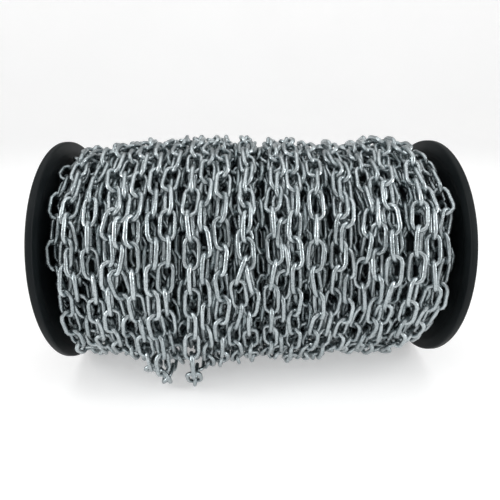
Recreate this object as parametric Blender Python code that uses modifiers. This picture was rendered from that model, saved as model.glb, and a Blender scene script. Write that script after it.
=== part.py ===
"""Reel of welded steel chain: a black moulded reel wound full with zinc-plated link chain.

Metres, +Z up. The reel lies on its two flanges with its axle along X. The origin is on the floor under
the middle of the reel, and the front of the reel is its -Y side.
"""

import math

import bmesh
import bpy
from mathutils import Matrix

# Chain: round steel wire, bent and welded into links
WIRE = 0.0032
LINK_LENGTH = 0.0236
LINK_WIDTH = 0.0128
CHAIN_TURNS = 25
LINKS_PER_TURN = 31

# Section of the strand, as (across, outward) corners from its upper middle round to the right: a link that lies
# flat is a trough between its two legs, and a link that stands is a plate. Either keeps its section over this
# share of the pitch on each side of its middle.
FLAT_LINK = [(0, -0.0032), (0.0064, 0.0016), (0.0012, -0.0059), (-0.0012, -0.0059), (-0.0064, 0.0016)]
STANDING_LINK = [(0, 0.0064), (0.0016, 0.0051), (0.0009, -0.0061), (-0.0009, -0.0061), (-0.0016, 0.0051)]
STRAIGHT_SHARE = 0.28

# Reel: two moulded flanges plugged into a tube
FLANGE_RADIUS = 0.088
REEL_LENGTH = 0.294
RIM_THICKNESS = 0.005
RIM_EDGE = 0.0012
RIM_BEAD_WIDTH = 0.008
RIM_BEAD_SLOPE = 0.003
RIM_BEAD_HEIGHT = 0.0008
RIM_WALL = 0.006
WEB_THICKNESS = 0.0022
BORE_RADIUS = 0.015
HUB_RADIUS = 0.021
BARREL_RADIUS = 0.035
BARREL_WALL = 0.003
SPIGOT_WALL = 0.0025
SPIGOT_LENGTH = 0.012
RIBS = 8
RIB_THICKNESS = 0.0024
RIB_BELOW_RIM = 0.0005
TOUCHING_GAP = 0.0003

# Winding: outside radius of the chain at places along the reel, read off the top edge of the winding
WINDING_EDGE = [
    (-0.140, 0.081), (-0.121, 0.081), (-0.108, 0.083), (-0.097, 0.089), (-0.080, 0.090), (-0.068, 0.092),
    (-0.055, 0.0915), (-0.040, 0.0935), (-0.022, 0.094), (0.005, 0.0925), (0.018, 0.0895), (0.035, 0.093),
    (0.051, 0.087), (0.078, 0.088), (0.095, 0.0925), (0.108, 0.0925), (0.118, 0.0895), (0.128, 0.084), (0.140, 0.084),
]
WINDING_HALF_WIDTH = 0.134
CORE_HALF_LENGTH = 0.139
FLOOR_CLEARANCE = 0.0005

# Sag: how much farther out the winding hangs low at the front, where the loosest turns reach the floor
SAG_ANGLE = math.radians(-50)
SAG_SPREAD = math.radians(27)
SAG = [
    (-0.140, 0.000), (-0.115, 0.008), (-0.100, 0.001), (-0.090, 0.006), (-0.079, 0.019), (-0.068, 0.019),
    (-0.058, 0.010), (-0.047, 0.020), (-0.037, 0.015), (-0.026, 0.005), (0.005, 0.001), (0.022, 0.006),
    (0.034, 0.004), (0.051, 0.009), (0.062, 0.003), (0.085, 0.000), (0.100, -0.003), (0.140, -0.003),
]

REEL_STEPS = 72
BARREL_STEPS = 48
AXLE_HEIGHT = FLANGE_RADIUS * math.cos(math.pi / REEL_STEPS)
RIM_INNER_FACE = REEL_LENGTH / 2 - RIM_THICKNESS
WEB_INNER_FACE = RIM_INNER_FACE + RIM_BEAD_HEIGHT
WEB_OUTER_FACE = WEB_INNER_FACE + WEB_THICKNESS


def clear_scene():
    for obj in list(bpy.data.objects):
        bpy.data.objects.remove(obj, do_unlink=True)


def new_collection(name):
    made = bpy.data.collections.new(name)
    bpy.context.scene.collection.children.link(made)
    return made


def new_material(name, colour, roughness, metallic):
    made = bpy.data.materials.new(name)
    made.use_nodes = True
    shader = made.node_tree.nodes["Principled BSDF"]
    shader.inputs["Base Color"].default_value = (*colour, 1)
    shader.inputs["Roughness"].default_value = roughness
    shader.inputs["Metallic"].default_value = metallic
    made.diffuse_color = (*colour, 1)
    return made


def add_object(name, mesh, material, collection):
    obj = bpy.data.objects.new(name, mesh)
    if material:
        mesh.materials.append(material)
    collection.objects.link(obj)
    return obj


def add_cutter(name, mesh, collection):
    obj = add_object(name, mesh, None, collection)
    obj.hide_render = True
    obj.display_type = "WIRE"
    return obj


def profile_mesh(name, points, steps):
    """A closed outline of (radius, height) points to turn round Z, set so that a flat facet faces the floor."""
    half_step = math.pi / steps
    verts = [(r * math.cos(half_step), r * math.sin(half_step), z) for r, z in points]
    edges = [(i, (i + 1) % len(points)) for i in range(len(points))]
    mesh = bpy.data.meshes.new(name)
    mesh.from_pydata(verts, edges, [])
    return mesh


def turn_profile(obj, steps):
    screw = obj.modifiers.new("turned", "SCREW")
    screw.steps = steps
    screw.render_steps = steps
    screw.use_merge_vertices = True
    screw.merge_threshold = 0.00001
    return screw


def lay_on_axle(obj, outward=1):
    """Turns the object's own Z to lie along the axle, towards +X or -X."""
    obj.rotation_euler = (0, outward * math.pi / 2, 0)
    obj.location = (0, 0, AXLE_HEIGHT)


def flange_profile():
    """Down the rim, in along the inner face, round the spigot, out through the bore and back along the ribs' side."""
    outer_face = REEL_LENGTH / 2
    spigot_outside = BARREL_RADIUS - BARREL_WALL - TOUCHING_GAP
    spigot_inside = spigot_outside - SPIGOT_WALL
    spigot_end = WEB_INNER_FACE - SPIGOT_LENGTH
    return [
        (FLANGE_RADIUS - RIM_EDGE, outer_face),
        (FLANGE_RADIUS, outer_face - RIM_EDGE),
        (FLANGE_RADIUS, RIM_INNER_FACE + RIM_EDGE),
        (FLANGE_RADIUS - RIM_EDGE, RIM_INNER_FACE),
        (FLANGE_RADIUS - RIM_BEAD_WIDTH, RIM_INNER_FACE),
        (FLANGE_RADIUS - RIM_BEAD_WIDTH - RIM_BEAD_SLOPE, WEB_INNER_FACE),
        (spigot_outside, WEB_INNER_FACE),
        (spigot_outside, spigot_end),
        (spigot_inside, spigot_end),
        (spigot_inside, WEB_INNER_FACE),
        (BORE_RADIUS, WEB_INNER_FACE),
        (BORE_RADIUS, outer_face),
        (HUB_RADIUS, outer_face),
        (HUB_RADIUS, WEB_OUTER_FACE),
        (FLANGE_RADIUS - RIM_WALL, WEB_OUTER_FACE),
        (FLANGE_RADIUS - RIM_WALL, outer_face),
    ]


def rib_mesh():
    """Eight spokes from the hub to the rim, sunk a little into the web, the hub and the rim that they join."""
    sink = 0.001
    inner_end = HUB_RADIUS - sink
    outer_end = FLANGE_RADIUS - RIM_WALL + sink
    bottom = WEB_OUTER_FACE - sink
    top = REEL_LENGTH / 2 - RIB_BELOW_RIM
    bm = bmesh.new()
    for rib in range(RIBS):
        made = bmesh.ops.create_cube(bm, size=1)["verts"]
        bmesh.ops.scale(bm, vec=(outer_end - inner_end, RIB_THICKNESS, top - bottom), verts=made)
        bmesh.ops.translate(bm, vec=((inner_end + outer_end) / 2, 0, (bottom + top) / 2), verts=made)
        turn = (rib + 0.5) * 2 * math.pi / RIBS
        bmesh.ops.rotate(bm, cent=(0, 0, 0), matrix=Matrix.Rotation(turn, 3, "Z"), verts=made)
    mesh = bpy.data.meshes.new("ribs")
    bm.to_mesh(mesh)
    bm.free()
    return mesh


def make_flanges(plastic, parts, cutters):
    for name, outward in (("flange_left", -1), ("flange_right", 1)):
        ribs = add_cutter(name + "_ribs", rib_mesh(), cutters)
        lay_on_axle(ribs, outward)
        flange = add_object(name, profile_mesh(name, flange_profile(), REEL_STEPS), plastic, parts)
        turn_profile(flange, REEL_STEPS)
        join = flange.modifiers.new("ribs", "BOOLEAN")
        join.operation = "UNION"
        join.object = ribs
        lay_on_axle(flange, outward)


def make_barrel(plastic, parts):
    half = WEB_INNER_FACE - TOUCHING_GAP
    inside = BARREL_RADIUS - BARREL_WALL
    outline = [(BARREL_RADIUS, half), (BARREL_RADIUS, -half), (inside, -half), (inside, half)]
    barrel = add_object("barrel", profile_mesh("barrel", outline, BARREL_STEPS), plastic, parts)
    turn_profile(barrel, BARREL_STEPS)
    lay_on_axle(barrel)


def read_off(places, x):
    """The value at x on the straight lines between stated places along the reel."""
    for (x0, value0), (x1, value1) in zip(places, places[1:]):
        if x <= x1:
            return value0 + (value1 - value0) * (x - x0) / (x1 - x0)
    return places[-1][1]


def strand_radius(x, angle):
    """How far the strand's middle is from the axle. Angle 0 is the front and a quarter turn is the top."""
    apart = math.remainder(angle - SAG_ANGLE, 2 * math.pi)
    radius = read_off(WINDING_EDGE, x) - LINK_WIDTH / 2
    radius += read_off(SAG, x) * math.exp(-((apart / SAG_SPREAD) ** 2))
    lowest = AXLE_HEIGHT - LINK_WIDTH / 2 - FLOOR_CLEARANCE
    if math.sin(angle) < 0:
        radius = min(radius, lowest / -math.sin(angle))
    return radius


def make_chain_turn(turn, steel, parts):
    """One turn of the strand, as a bar that changes between the sections of a flat and of a standing link."""
    corners = len(FLAT_LINK)
    bm = bmesh.new()
    bmesh.ops.create_cone(bm, cap_ends=True, segments=corners, radius1=1, radius2=1, depth=1)
    long_edges = [e for e in bm.edges if abs(e.verts[0].co.z - e.verts[1].co.z) > 0.5]
    bmesh.ops.subdivide_edges(bm, edges=long_edges, cuts=2 * LINKS_PER_TURN, use_grid_fill=True)
    pitch = 2 * WINDING_HALF_WIDTH / CHAIN_TURNS
    end_gap = TOUCHING_GAP / 2 / (LINKS_PER_TURN * (LINK_LENGTH - 2 * WIRE))
    for vert in bm.verts:
        step = round((vert.co.z + 0.5) * (2 * LINKS_PER_TURN + 1))
        link = step // 2
        along = (link + (STRAIGHT_SHARE if step % 2 else -STRAIGHT_SHARE)) / LINKS_PER_TURN
        along = min(max(along, end_gap), 1 - end_gap)
        section = FLAT_LINK if (link + turn * LINKS_PER_TURN) % 2 else STANDING_LINK
        corner = round(math.atan2(vert.co.x, vert.co.y) * corners / (2 * math.pi)) % corners
        angle = -math.pi / 2 + along * 2 * math.pi
        x = -WINDING_HALF_WIDTH + (turn - 1 + along) * pitch
        radius = strand_radius(x, angle) + section[corner][1]
        x -= section[corner][0]
        vert.co = (x, -math.cos(angle) * radius, AXLE_HEIGHT + math.sin(angle) * radius)
    mesh = bpy.data.meshes.new("chain_turn")
    bm.to_mesh(mesh)
    bm.free()
    add_object(f"chain_turn_{turn:02d}", mesh, steel, parts)


def make_chain_core(steel, parts, cutters):
    """The hidden inner layers as one plain body: round, and flattened underneath as the turns over it are."""
    below_turns = LINK_WIDTH + 2 * TOUCHING_GAP
    inside = BARREL_RADIUS + TOUCHING_GAP
    inner_places = sorted({x for x, _ in WINDING_EDGE + SAG if abs(x) < CORE_HALF_LENGTH}, reverse=True)
    places = [CORE_HALF_LENGTH] + inner_places + [-CORE_HALF_LENGTH]
    outline = [(read_off(WINDING_EDGE, x) + min(read_off(SAG, x), 0) - below_turns, x) for x in places]
    outline += [(inside, -CORE_HALF_LENGTH), (inside, CORE_HALF_LENGTH)]
    core = add_object("chain_core", profile_mesh("chain_core", outline, BARREL_STEPS), steel, parts)
    turn_profile(core, BARREL_STEPS)
    flat_height = FLOOR_CLEARANCE + below_turns
    bm = bmesh.new()
    bmesh.ops.create_cube(bm, size=REEL_LENGTH)
    bmesh.ops.translate(bm, vec=(0, 0, flat_height - REEL_LENGTH / 2), verts=bm.verts)
    mesh = bpy.data.meshes.new("floor_flat")
    bm.to_mesh(mesh)
    bm.free()
    cut = core.modifiers.new("flat", "BOOLEAN")
    cut.object = add_cutter("floor_flat", mesh, cutters)
    lay_on_axle(core)


def main():
    clear_scene()
    parts = new_collection("chain_reel")
    cutters = new_collection("cutters")
    plastic = new_material("black_plastic", (0.012, 0.013, 0.014), 0.38, 0)
    steel = new_material("zinc_plated_steel", (0.56, 0.58, 0.59), 0.32, 1)
    make_flanges(plastic, parts, cutters)
    make_barrel(plastic, parts)
    make_chain_core(steel, parts, cutters)
    for turn in range(1, CHAIN_TURNS + 1):
        make_chain_turn(turn, steel, parts)


main()
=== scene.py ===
"""Dressed model of a reel of zinc-plated steel link chain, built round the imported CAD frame."""

import math

import bmesh
import bpy
import numpy as np
from mathutils import Matrix, Vector


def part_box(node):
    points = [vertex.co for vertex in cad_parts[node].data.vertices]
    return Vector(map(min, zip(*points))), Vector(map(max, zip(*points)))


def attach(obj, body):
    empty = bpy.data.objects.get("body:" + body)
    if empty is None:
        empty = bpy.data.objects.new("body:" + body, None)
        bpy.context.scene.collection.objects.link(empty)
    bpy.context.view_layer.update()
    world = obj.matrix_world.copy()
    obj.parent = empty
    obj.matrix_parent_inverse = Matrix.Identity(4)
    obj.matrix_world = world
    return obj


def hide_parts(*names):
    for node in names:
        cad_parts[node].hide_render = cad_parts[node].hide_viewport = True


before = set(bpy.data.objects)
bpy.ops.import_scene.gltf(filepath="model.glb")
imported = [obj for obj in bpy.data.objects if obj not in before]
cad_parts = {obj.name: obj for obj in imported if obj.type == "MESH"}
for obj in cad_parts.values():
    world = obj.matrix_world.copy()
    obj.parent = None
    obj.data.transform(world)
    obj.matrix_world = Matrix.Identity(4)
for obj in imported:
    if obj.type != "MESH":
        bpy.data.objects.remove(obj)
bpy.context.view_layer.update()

# The barrel is the plain moulded tube that carries the winding, and it is the only piece left as it is.
# It sets where the axle lies. Its black plastic is the same as the flanges', with a fine mould grain,
# faint flow marks and a little rubbed dust.
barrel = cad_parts["barrel"]
barrel_low, barrel_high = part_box("barrel")
AXLE = Vector((0, (barrel_low[1] + barrel_high[1]) / 2, (barrel_low[2] + barrel_high[2]) / 2))


class Shade:
    """One value in a material's nodes. Sums and products of values add their own Math nodes."""

    def __init__(self, tree, socket=None):
        self.tree = tree
        self.socket = socket

    def node(self, kind, settings, inputs):
        """Adds one node, with its settings made first and its sockets filled with values or links."""
        made = self.tree.nodes.new("ShaderNode" + kind)
        for name, setting in settings.items():
            if name == "stops":
                ramp = made.color_ramp.elements
                while len(ramp) < len(setting):
                    ramp.new(0.5)
                for stop, (place, level) in zip(ramp, setting):
                    stop.position = place
                    stop.color = (level, level, level, 1)
            else:
                setattr(made, name, setting)
        for name, value in inputs.items():
            if isinstance(value, Shade):
                self.tree.links.new(value.socket, made.inputs[name])
            else:
                made.inputs[name].default_value = value
        return made

    def take(self, kind, output, settings, inputs):
        return Shade(self.tree, self.node(kind, settings, inputs).outputs[output])

    def worked(self, operation, first, second):
        return self.take("Math", 0, {"operation": operation}, {0: first, 1: second})

    def __add__(self, other):
        return self.worked("ADD", self, other)

    def __radd__(self, other):
        return self.worked("ADD", other, self)

    def __sub__(self, other):
        return self.worked("SUBTRACT", self, other)

    def __rsub__(self, other):
        return self.worked("SUBTRACT", other, self)

    def __mul__(self, other):
        return self.worked("MULTIPLY", self, other)

    def __rmul__(self, other):
        return self.worked("MULTIPLY", other, self)

    def noise(self, vector, scale, detail, roughness=0.5):
        inputs = {"Vector": vector, "Scale": scale, "Detail": detail, "Roughness": roughness}
        return self.take("TexNoise", "Fac", {}, inputs)

    def stepped(self, *stops):
        """This value read off a straight-line ramp of (place, level) stops."""
        return self.take("ValToRGB", "Color", {"stops": stops}, {"Fac": self})

    def mixed(self, low, high):
        """A colour between two colours, by this value."""
        return self.take("Mix", 2, {"data_type": "RGBA"}, {0: self, 6: (*low, 1), 7: (*high, 1)})


def blank_material(name):
    material = bpy.data.materials.new(name)
    material.use_nodes = True
    shader = material.node_tree.nodes["Principled BSDF"]
    return material, shader, Shade(material.node_tree)


def black_plastic():
    material, shader, start = blank_material("moulded_black_plastic")
    place = start.take("TexCoord", "Object", {}, {})
    grain = start.noise(place, 1400, 2)
    flow = start.noise(place, 60, 3)
    dust = start.noise(place, 26, 5, 0.65).stepped((0.5, 0), (0.74, 1))
    scuffs = start.noise(start.take("Mapping", 0, {}, {"Vector": place, "Scale": (900, 60, 60)}), 1, 3)
    scuffs = scuffs.stepped((0.6, 0), (0.72, 1))
    wear = dust * 0.5 + scuffs * dust * 0.5
    shader.inputs["Metallic"].default_value = 0
    shader.inputs["Specular IOR Level"].default_value = 0.15
    start.tree.links.new(wear.mixed((0.0045, 0.0065, 0.0075), (0.016, 0.019, 0.020)).socket, shader.inputs["Base Color"])
    roughness = 0.46 + flow * 0.12 + dust * 0.14
    start.tree.links.new(roughness.socket, shader.inputs["Roughness"])
    height = grain * 0.6 + flow * 0.4
    bump = start.take("Bump", 0, {}, {"Strength": 0.18, "Distance": 0.0002, "Height": height})
    start.tree.links.new(bump.socket, shader.inputs["Normal"])
    return material


plastic = black_plastic()
barrel.material_slots[0].material = plastic

# The two flanges are moulded in one piece each, and a spigot on each plugs into the barrel. The inner face is a
# thin web inside a thicker rim. The outer face has a hub round the bore and eight low ribs out to the rim.
FLANGE_RADIUS = AXLE.z
RIM_THICKNESS = 0.005
RIM_ROUNDING = 0.0014
RIM_BEAD = 0.008
BEAD_SLOPE = 0.003
BEAD_HEIGHT = 0.0008
RIM_WALL = 0.006
WEB_THICKNESS = 0.0022
BORE_RADIUS = 0.015
HUB_RADIUS = 0.021
SPIGOT_OUTSIDE = 0.0317
SPIGOT_INSIDE = 0.0292
SPIGOT_LENGTH = 0.012
RIBS = 8
RIB_THICKNESS = 0.0024
RIB_BELOW_RIM = 0.0005
EDGE_ROUNDING = 0.0004
FLANGE_STEPS = 144


def on_axle(bm, outward):
    """Lays what was made round Z, with its outer face up, along the axle and towards one end of the reel."""
    bmesh.ops.rotate(bm, cent=(0, 0, 0), matrix=Matrix.Rotation(outward * math.pi / 2, 3, "Y"), verts=bm.verts)
    bmesh.ops.translate(bm, vec=AXLE, verts=bm.verts)


def new_piece(name, bm, material, smooth_below):
    mesh = bpy.data.meshes.new(name)
    bm.to_mesh(mesh)
    bm.free()
    mesh.shade_smooth()
    mesh.set_sharp_from_angle(angle=math.radians(smooth_below))
    mesh.materials.append(material)
    piece = bpy.data.objects.new(name, mesh)
    bpy.context.scene.collection.objects.link(piece)
    return piece


def turned_flange(end):
    """The flange without its ribs: its section is drawn as an edge loop, rounded at its corners and spun."""
    face = end - RIM_THICKNESS
    web = face + BEAD_HEIGHT
    section = [
        (FLANGE_RADIUS, end), (FLANGE_RADIUS, face), (FLANGE_RADIUS - RIM_BEAD, face),
        (FLANGE_RADIUS - RIM_BEAD - BEAD_SLOPE, web), (SPIGOT_OUTSIDE, web), (SPIGOT_OUTSIDE, web - SPIGOT_LENGTH),
        (SPIGOT_INSIDE, web - SPIGOT_LENGTH), (SPIGOT_INSIDE, web), (BORE_RADIUS, web), (BORE_RADIUS, end),
        (HUB_RADIUS, end), (HUB_RADIUS, web + WEB_THICKNESS), (FLANGE_RADIUS - RIM_WALL, web + WEB_THICKNESS),
        (FLANGE_RADIUS - RIM_WALL, end),
    ]
    bm = bmesh.new()
    corners = [bm.verts.new((radius, 0, height)) for radius, height in section]
    edges = [bm.edges.new((corners[i - 1], corners[i])) for i in range(len(corners))]
    for wide in (True, False):
        rounding = RIM_ROUNDING if wide else EDGE_ROUNDING
        picked = [v for v in bm.verts if v in corners and (v in corners[:2]) == wide]
        bmesh.ops.bevel(bm, geom=picked, offset=rounding, offset_type="OFFSET", segments=5 if wide else 2,
                        profile=0.5, affect="VERTICES", material=-1)
    edges = list(bm.edges)
    bmesh.ops.spin(bm, geom=list(bm.verts) + edges, cent=(0, 0, 0), axis=(0, 0, 1), dvec=(0, 0, 0),
                   angle=2 * math.pi, steps=FLANGE_STEPS, use_merge=True, use_duplicate=False)
    bmesh.ops.remove_doubles(bm, verts=bm.verts, dist=0.00001)
    bmesh.ops.recalc_face_normals(bm, faces=bm.faces)
    return bm


def flange_ribs(end):
    inner = HUB_RADIUS - 0.001
    outer = FLANGE_RADIUS - RIM_WALL + 0.001
    low = end - RIM_THICKNESS + BEAD_HEIGHT + WEB_THICKNESS - 0.001
    high = end - RIB_BELOW_RIM
    bm = bmesh.new()
    for rib in range(RIBS):
        made = bmesh.ops.create_cube(bm, size=1)["verts"]
        bmesh.ops.scale(bm, vec=(outer - inner, RIB_THICKNESS, high - low), verts=made)
        bmesh.ops.translate(bm, vec=((inner + outer) / 2, 0, (low + high) / 2), verts=made)
        top = [e for e in bm.edges if e.verts[0] in made and abs(e.verts[0].co.y - e.verts[1].co.y) < 1e-6
               and min(v.co.z for v in e.verts) > (low + high) / 2]
        rounded = bmesh.ops.bevel(bm, geom=top, offset=EDGE_ROUNDING, offset_type="OFFSET", segments=2, profile=0.5,
                                  affect="EDGES", material=-1)
        made = list({v for v in made if v.is_valid} | set(rounded["verts"]))
        turn = Matrix.Rotation((rib + 0.5) * 2 * math.pi / RIBS, 3, "Z")
        bmesh.ops.rotate(bm, cent=(0, 0, 0), matrix=turn, verts=made)
    return bm


for side, outward in (("left", -1), ("right", 1)):
    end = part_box("flange_" + side)[1][0] if outward > 0 else -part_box("flange_" + side)[0][0]
    ribs = flange_ribs(end)
    on_axle(ribs, outward)
    rib_piece = new_piece("ribs", ribs, plastic, 35)
    flange = turned_flange(end)
    on_axle(flange, outward)
    piece = new_piece(f"moulded_flange_{side}", flange, plastic, 35)
    join = piece.modifiers.new("ribs", "BOOLEAN")
    join.operation = "UNION"
    join.object = rib_piece
    joined = bpy.data.meshes.new_from_object(piece.evaluated_get(bpy.context.evaluated_depsgraph_get()))
    piece.modifiers.clear()
    piece.data = joined
    joined.shade_smooth()
    joined.set_sharp_from_angle(angle=math.radians(35))
    bpy.data.objects.remove(rib_piece, do_unlink=True)
    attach(piece, "root")
    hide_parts("flange_" + side)

# The chain is one strand of links, each bent from round wire and welded. It was wound tight from the barrel out,
# so every turn sinks into the gaps of the one below. The strand's lie is worked out here: the links start along
# a plain winding, and are then pulled in, hooked together and pushed apart until they rest on each other.
WIRE = 0.0032
LINK_LENGTH = 0.0236
LINK_WIDTH = 0.0128
PITCH = LINK_LENGTH - 2 * WIRE
TURNS = (25, 28, 28)
LAYERS = len(TURNS)
LAYER_RISE = 0.0078
SUNK = 0.0046
SLACK = 0.01
DRIFT = 0.0028
CORE_BELOW = 0.0032
STEPS = 220
TENSION = 0.000010
WEIGHT = 0.000006
WINDING_ENDS = ((-0.1315, 0.1340), (-0.1360, 0.1360), (-0.1360, 0.1360))
WINDING_EDGE = (
    (-0.140, 0.084), (-0.126, 0.085), (-0.113, 0.083), (-0.099, 0.090), (-0.080, 0.0905), (-0.068, 0.092),
    (-0.055, 0.0915), (-0.040, 0.0935), (-0.022, 0.094), (0.005, 0.0925), (0.018, 0.0895), (0.035, 0.093),
    (0.051, 0.087), (0.078, 0.088), (0.095, 0.0925), (0.108, 0.0925), (0.118, 0.0895), (0.128, 0.084), (0.140, 0.084),
)
SAG_ANGLE = math.radians(-50)
SAG_SPREAD = math.radians(27)
SAG = (
    (-0.140, -0.001), (-0.115, 0.004), (-0.100, 0.000), (-0.088, 0.001), (-0.077, 0.014), (-0.067, 0.022),
    (-0.056, 0.005), (-0.045, 0.022), (-0.035, 0.006), (-0.026, 0.004), (0.005, 0.001), (0.022, 0.006),
    (0.034, 0.004), (0.051, 0.009), (0.062, 0.003), (0.085, 0.000), (0.105, -0.004), (0.120, -0.009), (0.140, -0.009),
)
WEB_FACE = 0.1428
REACH = 0.0937
rng = np.random.default_rng(23)


def read_off(stated, x):
    """The value at x on the straight lines between stated places along the reel."""
    places, values = zip(*stated)
    return np.interp(x, places, values)


def on_winding(layer, turn):
    """Where a plain winding runs after so many turns of a layer, and how far it hangs out there."""
    start, end = WINDING_ENDS[layer]
    x = start + (end - start) * turn / TURNS[layer]
    if layer % 2:
        x = -x
    radius = float(read_off(WINDING_EDGE, x)) - SUNK - layer * LAYER_RISE
    if layer:
        radius += LAYER_RISE * max(0.0, 1 - (TURNS[layer] - turn) / 0.6)
    angle = -math.pi / 2 + 2 * math.pi * turn
    apart = math.remainder(angle - SAG_ANGLE, 2 * math.pi)
    sag = float(read_off(SAG, x))
    hang = (sag if layer == 0 else min(sag, 0)) * math.exp(-((apart / SAG_SPREAD) ** 2))
    radius += hang
    lowest = AXLE.z - LINK_WIDTH / 2 - 0.0005 - layer * 0.007
    if math.sin(angle) < -0.2:
        radius = min(radius, lowest / -math.sin(angle))
    return np.array((x, AXLE.y - math.cos(angle) * radius, AXLE.z + math.sin(angle) * radius)), hang


def winding_path():
    """The middle of every link of a plain winding, from the innermost visible layer out to the last turn."""
    middles, layers, turns, hangs = [], [], [], []
    turn = 0.0
    for layer in reversed(range(LAYERS)):
        while turn < TURNS[layer]:
            here, hang = on_winding(layer, turn)
            middles.append(here)
            layers.append(layer)
            turns.append(turn)
            hangs.append(max(hang, 0))
            spacing = PITCH * (1 - SLACK * min(1, hangs[-1] / 0.012))
            step = 1 / 31
            for _ in range(3):
                ahead, _ = on_winding(layer, turn + step)
                step *= spacing / math.dist(here, ahead)
            turn += step
        turn -= TURNS[layer]
    return np.array(middles), np.array(layers), np.array(turns), np.array(hangs)


def wandering(count, span):
    """A smooth random walk about zero that changes over a number of links."""
    knots = rng.normal(size=int(count / span) + 4)
    return np.interp(np.arange(count) / span, np.arange(len(knots)), knots)


def unit(vectors):
    return vectors / np.linalg.norm(vectors, axis=1)[:, None]


def from_axle(points):
    """Directions and distances from the axle."""
    rays = points - np.array(AXLE)
    rays[:, 0] = 0
    distance = np.linalg.norm(rays, axis=1)
    return rays / distance[:, None], distance


def wire_points():
    """Sixteen points along the middle of one link's wire, for feeling where links touch."""
    straight = (LINK_LENGTH - LINK_WIDTH) / 2
    bend = (LINK_WIDTH - WIRE) / 2
    half = 2 * straight + math.pi * bend
    points = []
    for step in range(8):
        s = (step + 0.5) / 8 * half
        turned = max(0.0, s - 2 * straight) / bend
        x = min(s, 2 * straight) - straight + bend * math.sin(turned)
        y = bend * math.cos(turned)
        points += [(x, y, 0), (-x, -y, 0)]
    return np.array(points)


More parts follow.
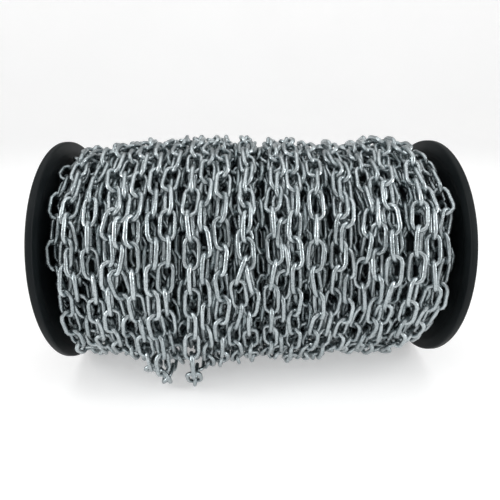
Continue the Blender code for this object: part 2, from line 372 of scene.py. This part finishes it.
class Strand:
    """Every link of the chain as a stiff body: where its middle is, and which way it runs and lies."""

    inverse_inertia = 1 / np.array([16e-6, 52e-6, 67e-6])
    square_play = math.radians(25)

    def __init__(self, middles, along, across):
        self.middles = middles
        self.along = along
        self.across = across
        self.count = len(middles)
        self.felt = wire_points()
        self.owner = np.repeat(np.arange(self.count), len(self.felt))

    def frames(self):
        return np.stack([self.along, self.across, np.cross(self.along, self.across)], axis=2)

    def turn(self, links, spin):
        self.along[links] += np.cross(spin, self.along[links])
        self.across[links] += np.cross(spin, self.across[links])
        self.along[links] = unit(self.along[links])
        lean = np.einsum("ij,ij->i", self.across[links], self.along[links])
        self.across[links] = unit(self.across[links] - self.along[links] * lean[:, None])

    def give(self, frames, arms, directions):
        """How readily a link yields to a push at the end of an arm, and the turn that the push brings."""
        local = np.einsum("nij,ni->nj", frames, np.cross(arms, directions)) * self.inverse_inertia
        turned = np.einsum("nij,nj->ni", frames, local)
        return 1 + np.einsum("ij,ij->i", np.cross(turned, arms), directions), turned

    def hook_together(self):
        """Brings the ends of neighbouring links together, and keeps their flats near square to each other."""
        for parity in (0, 1, 0, 1):
            a = np.arange(parity, self.count - 1, 2)
            b = a + 1
            frames = self.frames()
            arm_a = self.along[a] * PITCH / 2
            arm_b = -self.along[b] * PITCH / 2
            gap = self.middles[b] + arm_b - self.middles[a] - arm_a
            length = np.linalg.norm(gap, axis=1) + 1e-12
            pull = gap / length[:, None]
            give_a, turned_a = self.give(frames[a], arm_a, pull)
            give_b, turned_b = self.give(frames[b], arm_b, pull)
            share = (length / (give_a + give_b))[:, None]
            self.middles[a] += pull * share
            self.middles[b] -= pull * share
            axis = unit(self.along[a] + self.along[b])
            lean = np.arcsin(np.clip(np.einsum("ij,ij->i", self.across[a], self.across[b]), -1, 1))
            sense = np.einsum("ij,ij->i", np.cross(axis, self.across[a]), self.across[b])
            over = np.sign(lean) * np.maximum(np.abs(lean) - self.square_play, 0)
            back = axis * (-0.4 * over * np.sign(sense))[:, None]
            self.turn(a, turned_a * share + back)
            self.turn(b, -turned_b * share - back)

    def feel(self):
        """The points felt on every wire, and their arms from the links' middles."""
        arms = np.einsum("nij,kj->nki", self.frames(), self.felt).reshape(-1, 3)
        return np.repeat(self.middles, len(self.felt), axis=0) + arms, arms

    def near_pairs(self, points, reach):
        """Pairs of points nearer than reach, apart from those on the same link or on neighbours in the strand."""
        cells = np.floor((points - points.min(axis=0)) / reach).astype(np.int64) + 1
        size = cells.max(axis=0) + 2
        stride = np.array([1, size[0], size[0] * size[1]])
        keys = cells @ stride
        order = np.argsort(keys, kind="stable")
        keys = keys[order]
        index = np.arange(len(points))
        firsts, seconds = [], []
        for dz in (-1, 0, 1):
            for dy in (-1, 0, 1):
                for dx in (-1, 0, 1):
                    offset = int(np.dot((dx, dy, dz), stride))
                    if offset < 0:
                        continue
                    start = np.searchsorted(keys, keys + offset, "left") if offset else index + 1
                    found = np.maximum(np.searchsorted(keys, keys + offset, "right") - start, 0)
                    before = np.cumsum(found) - found
                    firsts.append(order[np.repeat(index, found)])
                    seconds.append(order[np.repeat(start - before, found) + np.arange(found.sum())])
        a = np.concatenate(firsts)
        b = np.concatenate(seconds)
        apart = np.linalg.norm(points[a] - points[b], axis=1)
        keep = (np.abs(self.owner[a] - self.owner[b]) > 1) & (apart < reach)
        return a[keep], b[keep]

    def push_apart(self, pairs):
        """Moves links out of each other, and off the core, the floor and the flanges."""
        points, arms = self.feel()
        frames = self.frames()
        a, b = pairs
        gap = points[a] - points[b]
        apart = np.linalg.norm(gap, axis=1) + 1e-12
        hit = apart < WIRE
        a, b, depth = a[hit], b[hit], WIRE - apart[hit]
        direction = gap[hit] / apart[hit][:, None]
        give_a, turned_a = self.give(frames[self.owner[a]], arms[a], direction)
        give_b, turned_b = self.give(frames[self.owner[b]], arms[b], direction)
        share = depth / (give_a + give_b)
        pushes = [(a, direction, turned_a, share), (b, -direction, -turned_b, share)]
        outward, distance = from_axle(points)
        sides = np.zeros_like(points)
        sides[:, 0] = -np.sign(points[:, 0])
        inward = np.zeros_like(points)
        inward[:, 1] = -np.sign(points[:, 1])
        floor = np.zeros_like(points)
        floor[:, 2] = 1
        walls = (
            (core_radius(points[:, 0]) + WIRE / 2 - distance, outward),
            (np.abs(points[:, 1]) + WIRE / 2 + 0.0001 - REACH, inward),
            (WIRE / 2 + 0.0004 - points[:, 2], floor),
            (points[:, 2] + WIRE / 2 + 0.0001 - AXLE.z - REACH + 0.0001, -floor),
            (np.abs(points[:, 0]) + WIRE / 2 + 0.0003 - WEB_FACE, sides),
        )
        for depth, direction in walls:
            c = np.nonzero(depth > 0)[0]
            give, turned = self.give(frames[self.owner[c]], arms[c], direction[c])
            pushes.append((c, direction[c], turned, depth[c] / give))
        move = np.zeros((self.count, 3))
        spin = np.zeros((self.count, 3))
        touches = np.zeros(self.count)
        for felt, direction, turned, share in pushes:
            link = self.owner[felt]
            touches += np.bincount(link, minlength=self.count)
            for axis in range(3):
                move[:, axis] += np.bincount(link, direction[:, axis] * share, self.count)
                spin[:, axis] += np.bincount(link, turned[:, axis] * share, self.count)
        shared = np.maximum(touches, 1)[:, None] ** -0.6
        self.middles += move * shared
        self.turn(slice(None), spin * shared)

    def settle(self, steps, tension, weight):
        """Pulls the strand in and down a little at a time, mending its hooks and its touches after each pull."""
        for step in range(steps):
            if step < steps * 0.85:
                outward, _ = from_axle(self.middles)
                self.middles -= outward * tension
                self.middles[:, 2] -= weight
            self.hook_together()
            if step % 8 == 0:
                pairs = self.near_pairs(self.feel()[0], WIRE + 0.002)
            self.push_apart(pairs)
        below = WIRE / 2 + 0.0003 - self.feel()[0][:, 2].reshape(self.count, -1).min(axis=1)
        self.middles[:, 2] += np.maximum(below, 0)


def core_radius(x):
    return read_off(WINDING_EDGE, x) - SUNK - (LAYERS - 1) * LAYER_RISE - CORE_BELOW


def wound_strand():
    middles, layers, turns, hangs = winding_path()
    count = len(middles)
    outward, _ = from_axle(middles)
    freely = 1 - 0.85 * np.minimum(1, hangs / 0.006)
    middles[:, 0] += freely * (DRIFT * wandering(count, 10) + 0.0015 * wandering(count, 4))
    middles += outward * 0.0008 * np.abs(wandering(count, 3))[:, None]
    along = unit(np.gradient(middles, axis=0))
    outward = unit(outward - along * np.einsum("ij,ij->i", outward, along)[:, None])
    sideways = np.cross(outward, along)
    lean = np.radians(24) * wandering(count, 3) + np.radians(32) * wandering(count, 15)
    lean[1::2] += math.pi / 2
    across = sideways * np.cos(lean)[:, None] + outward * np.sin(lean)[:, None]
    strand = Strand(middles, along, across)
    strand.settle(STEPS, TENSION, WEIGHT)
    return strand, layers, turns


strand, link_layer, link_turn = wound_strand()


def zinc_plating(name, dull, clean):
    """Zinc plating on drawn wire, between two colours: finely pitted, and each link of its own brightness."""
    material, shader, start = blank_material(name)
    place = start.take("TexCoord", "Object", {}, {})
    tone = start.take("Attribute", "Fac", {"attribute_name": "link_tone"}, {})
    speckle = start.noise(place, 1100, 2, 0.6)
    cloud = start.noise(place, 260, 3, 0.55)
    pits = speckle.stepped((0.52, 0), (0.64, 1))
    bright = tone * 0.4 + cloud * 0.75 - pits * 0.55
    start.tree.links.new(bright.mixed(dull, clean).socket, shader.inputs["Base Color"])
    shader.inputs["Metallic"].default_value = 1
    roughness = 0.23 + cloud * 0.1 + pits * 0.16
    start.tree.links.new(roughness.socket, shader.inputs["Roughness"])
    height = speckle * 0.8 + cloud * 0.2
    bump = start.take("Bump", 0, {}, {"Strength": 0.6, "Distance": 0.0002, "Height": height})
    start.tree.links.new(bump.socket, shader.inputs["Normal"])
    return material


outer_zinc = zinc_plating("zinc_plated_wire", (0.24, 0.278, 0.292), (0.56, 0.612, 0.628))
# A darker copy of the same zinc: painted shade for the layers deep in the winding, not a different finish.
inner_zinc_with_painted_shade = zinc_plating("zinc_darkened_for_painted_shade", (0.17, 0.21, 0.222), (0.46, 0.51, 0.525))


def link_shape(bend_steps, sides):
    """One link round its own middle: a ring of wire swept round an oval with straight sides."""
    straight = (LINK_LENGTH - LINK_WIDTH) / 2
    bend = (LINK_WIDTH - WIRE) / 2
    bm = bmesh.new()
    ring = bmesh.ops.create_circle(bm, cap_ends=False, segments=sides, radius=WIRE / 2)["verts"]
    bmesh.ops.rotate(bm, cent=(0, 0, 0), matrix=Matrix.Rotation(math.pi / 2, 3, "Y"), verts=ring)
    bmesh.ops.translate(bm, vec=(-straight, bend, 0), verts=ring)
    geometry = list(bm.verts) + list(bm.edges)
    for end in (1, -1):
        edges = [g for g in geometry if isinstance(g, bmesh.types.BMEdge)]
        grown = bmesh.ops.extrude_edge_only(bm, edges=edges)["geom"]
        moved = [g for g in grown if isinstance(g, bmesh.types.BMVert)]
        bmesh.ops.translate(bm, vec=(end * 2 * straight, 0, 0), verts=moved)
        loop = moved + [g for g in grown if isinstance(g, bmesh.types.BMEdge) and all(v in moved for v in g.verts)]
        geometry = bmesh.ops.spin(bm, geom=loop, cent=(end * straight, 0, 0), axis=(0, 0, -1), dvec=(0, 0, 0),
                                  angle=math.pi, steps=bend_steps, use_merge=False, use_duplicate=False)["geom_last"]
    bmesh.ops.remove_doubles(bm, verts=bm.verts, dist=0.00001)
    bmesh.ops.recalc_face_normals(bm, faces=bm.faces)
    return bm


def joined_links(name, links, bend_steps, sides, material):
    """A piece of the strand: the one link shape repeated at every stated link, each with a tone of its own."""
    bm = link_shape(bend_steps, sides)
    tone = bm.verts.layers.float.new("link_tone")
    shape = list(bm.verts) + list(bm.edges) + list(bm.faces)
    frames = strand.frames()
    for link in links:
        copied = bmesh.ops.duplicate(bm, geom=shape)["geom"]
        verts = [g for g in copied if isinstance(g, bmesh.types.BMVert)]
        place = Matrix(frames[link].tolist()).to_4x4()
        place.translation = strand.middles[link].tolist()
        bmesh.ops.transform(bm, matrix=place, verts=verts)
        level = float(rng.random())
        for vert in verts:
            vert[tone] = level
    bmesh.ops.delete(bm, geom=[g for g in shape if isinstance(g, bmesh.types.BMVert)], context="VERTS")
    piece = new_piece(name, bm, material, 80)
    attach(piece, "root")
    return piece


# The layers under the outermost one show only through its gaps, so their links are plainer and get a darker copy
# of the same zinc as painted shade, and the rest of the winding is one turned steel body under them, coloured nearly
# black as painted shade.
for name, layer in (("second_layer", 1), ("third_layer", 2)):
    piece = joined_links(name, np.nonzero(link_layer == layer)[0], 3, 5, inner_zinc_with_painted_shade)
    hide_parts("chain_core")


def core_body():
    places = np.linspace(0.139, -0.139, 29)
    bm = bmesh.new()
    outline = [bm.verts.new((float(core_radius(x)) - 0.0008, 0, x)) for x in places]
    outline = [bm.verts.new((0.0353, 0, 0.139))] + outline + [bm.verts.new((0.0353, 0, -0.139))]
    edges = [bm.edges.new((outline[i - 1], outline[i])) for i in range(len(outline))]
    bmesh.ops.spin(bm, geom=outline + edges, cent=(0, 0, 0), axis=(0, 0, 1), dvec=(0, 0, 0), angle=2 * math.pi,
                   steps=64, use_merge=True, use_duplicate=False)
    bmesh.ops.remove_doubles(bm, verts=bm.verts, dist=0.00001)
    bmesh.ops.recalc_face_normals(bm, faces=bm.faces)
    on_axle(bm, 1)
    return bm


def steel_painted_dark_as_shade():
    material, shader, start = blank_material("steel_painted_dark_for_shade")
    place = start.take("TexCoord", "Object", {}, {})
    # Nearly black: painted shade for the dark depth of the winding, not the steel's own colour.
    colour = start.noise(place, 300, 2).mixed((0.008, 0.014, 0.016), (0.05, 0.065, 0.07))
    start.tree.links.new(colour.socket, shader.inputs["Base Color"])
    shader.inputs["Metallic"].default_value = 0.6
    shader.inputs["Roughness"].default_value = 0.5
    return material


core = new_piece("inner_windings", core_body(), steel_painted_dark_as_shade(), 60)
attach(core, "root")
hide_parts("chain_core")

# The outermost layer is 25 turns of the same strand, wound from the left flange to the right one.
for turn in range(1, TURNS[0] + 1):
    links = np.nonzero((link_layer == 0) & (np.floor(link_turn) == turn - 1))[0]
    piece = joined_links(f"wound_turn_{turn:02d}", links, 5, 6, outer_zinc)
    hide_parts(f"chain_turn_{turn:02d}")

# The reel stands on a pale sweep that curves up all round, out of the way of every view.
FLOOR_RADIUS = 1.6
WALL_BEND = 0.75


def pale_sweep():
    bm = bmesh.new()
    disc = bmesh.ops.create_circle(bm, cap_ends=True, segments=96, radius=FLOOR_RADIUS)["verts"]
    loop = disc + list({e for v in disc for e in v.link_edges})
    for step in range(12):
        grown = bmesh.ops.extrude_edge_only(bm, edges=[g for g in loop if isinstance(g, bmesh.types.BMEdge)])["geom"]
        moved = [g for g in grown if isinstance(g, bmesh.types.BMVert)]
        low, high = step * math.pi / 24, (step + 1) * math.pi / 24
        radius = FLOOR_RADIUS + WALL_BEND * math.sin(high)
        was = FLOOR_RADIUS + WALL_BEND * math.sin(low)
        bmesh.ops.scale(bm, vec=(radius / was, radius / was, 1), verts=moved)
        bmesh.ops.translate(bm, vec=(0, 0, WALL_BEND * (math.cos(low) - math.cos(high))), verts=moved)
        loop = moved + [g for g in grown if isinstance(g, bmesh.types.BMEdge) and all(v in moved for v in g.verts)]
    bmesh.ops.recalc_face_normals(bm, faces=bm.faces)
    return bm


def pale_paper():
    material, shader, start = blank_material("pale_paper")
    place = start.take("TexCoord", "Object", {}, {})
    colour = start.noise(place, 3, 2).mixed((0.68, 0.68, 0.68), (0.72, 0.72, 0.72))
    start.tree.links.new(colour.socket, shader.inputs["Base Color"])
    shader.inputs["Roughness"].default_value = 0.7
    shader.inputs["Emission Color"].default_value = (1, 1, 1, 1)
    shader.inputs["Emission Strength"].default_value = 0.38
    return material


sweep = new_piece("pale_sweep", pale_sweep(), pale_paper(), 60)

# The light is a studio table: a wide soft light overhead, a narrow strip over the front that draws a bright line
# along the wires, a tall strip at each side, and a dim room that leaves the gaps dark.
world = bpy.data.worlds.new("studio")
bpy.context.scene.world = world
world.use_nodes = True
world.node_tree.nodes["Background"].inputs["Color"].default_value = (1, 1, 1, 1)
world.node_tree.nodes["Background"].inputs["Strength"].default_value = 0.45

for name, place, width, depth, power in (
    ("overhead", (0, 0.1, 1.5), 1.8, 1.8, 11),
    ("front_strip", (0, -0.75, 1.0), 1.4, 0.12, 1.2),
    ("left_strip", (-1.1, -0.3, 0.5), 0.30, 0.9, 7),
    ("right_strip", (1.1, -0.3, 0.5), 0.30, 0.9, 7),
):
    light = bpy.data.lights.new(name, "AREA")
    light.shape = "RECTANGLE"
    light.size = width
    light.size_y = depth
    light.energy = power
    lamp = bpy.data.objects.new(name, light)
    lamp.location = place
    lamp.rotation_euler = (AXLE - Vector(place)).to_track_quat("-Z", "Y").to_euler()
    bpy.context.scene.collection.objects.link(lamp)
bpy.context.scene.view_settings.view_transform = "Standard"

# The camera stands four flange radii off the middle of the reel, a little above it and almost square on.
VIEW_AZIMUTH = math.radians(1.93)
VIEW_ELEVATION = math.radians(21.7)
FOCAL_LENGTH = 29.55
FRAMING = Vector((0.0071, 0.0301, 4.0075)) * FLANGE_RADIUS
right = Vector((math.cos(VIEW_AZIMUTH), -math.sin(VIEW_AZIMUTH), 0))
forward = Vector((0, math.cos(VIEW_ELEVATION), -math.sin(VIEW_ELEVATION)))
forward.rotate(Matrix.Rotation(-VIEW_AZIMUTH, 3, "Z"))
upward = right.cross(forward)
camera = bpy.data.objects.new("camera", bpy.data.cameras.new("camera"))
camera.data.lens = FOCAL_LENGTH
camera.location = AXLE - right * FRAMING.x - upward * FRAMING.y - forward * FRAMING.z
camera.rotation_euler = Matrix((right, upward, -forward)).transposed().to_euler()
bpy.context.scene.collection.objects.link(camera)
bpy.context.scene.camera = camera
